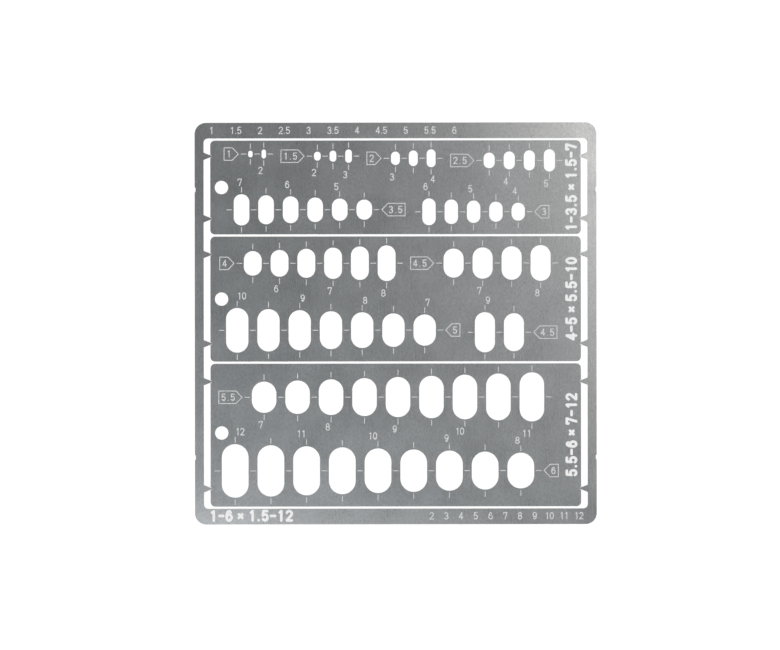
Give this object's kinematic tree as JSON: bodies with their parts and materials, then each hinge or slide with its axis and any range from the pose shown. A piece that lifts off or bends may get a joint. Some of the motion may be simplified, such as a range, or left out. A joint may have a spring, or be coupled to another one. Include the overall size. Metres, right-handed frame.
{
  "type": "rectangle template",
  "caption": "Etched steel drawing template: a square carrier frame holding three lift-out plates of graded round-ended slots, each plate with a round hanging hole.",
  "frame": {"origin": "centre of the sheet's underside", "axes": "+Z out of the numbered face, +Y towards the header strip, +X to the right as the numbers read"},
  "size_m": [0.09, 0.09, 0.0002],
  "materials": {
    "rolled_steel_sheet": "satin, as rolled and photo-etched"
  },
  "bodies": {
    "carrier": {"carrier_frame": "rolled_steel_sheet"},
    "small_plate": {"small_slot_plate": "rolled_steel_sheet"},
    "medium_plate": {"medium_slot_plate": "rolled_steel_sheet"},
    "large_plate": {"large_slot_plate": "rolled_steel_sheet"}
  },
  "joints": [
    {"name": "small_plate_lift", "type": "slide", "parent": "carrier", "child": "small_plate", "axis": [0, 0, 1], "range_m": [0, 0.02]},
    {"name": "medium_plate_lift", "type": "slide", "parent": "carrier", "child": "medium_plate", "axis": [0, 0, 1], "range_m": [0, 0.02]},
    {"name": "large_plate_lift", "type": "slide", "parent": "carrier", "child": "large_plate", "axis": [0, 0, 1], "range_m": [0, 0.02]}
  ]
}
